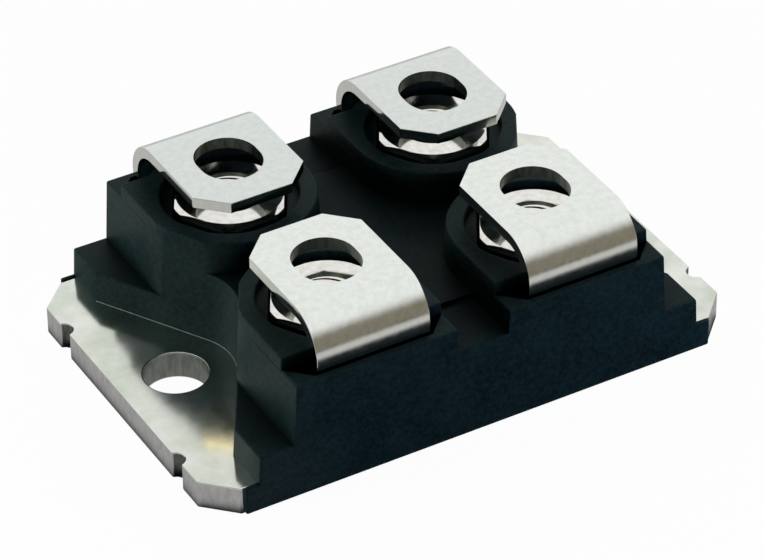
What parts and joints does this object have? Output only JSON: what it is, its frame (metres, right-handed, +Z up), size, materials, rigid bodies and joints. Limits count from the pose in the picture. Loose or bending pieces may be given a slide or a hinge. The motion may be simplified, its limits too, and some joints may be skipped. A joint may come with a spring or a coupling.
{
  "type": "igbt power module",
  "caption": "Isolated IGBT power module: plated base plate, black moulded housing, folded screw terminals over captive nuts.",
  "frame": {"origin": "centre of the base plate's underside", "axes": "+X along the length, towards the sense and collector terminals; +Y across, towards the gate and sense terminals; +Z up, away from the heatsink"},
  "size_m": [0.0382, 0.0254, 0.012],
  "materials": {
    "plated_copper_plate": "satin nickel plating over copper",
    "moulding_compound": "satin black moulding compound",
    "plated_terminal": "bright nickel plating over copper",
    "plated_nut": "bright nickel plating over steel",
    "solder": "dull solder",
    "bare_copper": "bare copper",
    "alumina": "matt sintered",
    "silicon": "metallised, matt",
    "bond_wire": "bright drawn"
  },
  "bodies": {
    "root": {"base_plate": "plated_copper_plate", "housing": "moulding_compound", "gate_terminal": "plated_terminal", "sense_terminal": "plated_terminal", "emitter_terminal": "plated_terminal", "collector_terminal": "plated_terminal", "gate_nut": "plated_nut", "sense_nut": "plated_nut", "emitter_nut": "plated_nut", "collector_nut": "plated_nut", "substrate_solder": "solder", "back_copper": "bare_copper", "ceramic": "alumina", "gate_pad": "bare_copper", "sense_pad": "bare_copper", "emitter_pad": "bare_copper", "collector_pad": "bare_copper", "chip_solder": "solder", "igbt_chip": "silicon", "diode_chip": "silicon", "emitter_wires": "bond_wire", "diode_wires": "bond_wire", "gate_wire": "bond_wire", "sense_wire": "bond_wire", "terminal_solder": "solder"}
  },
  "joints": []
}
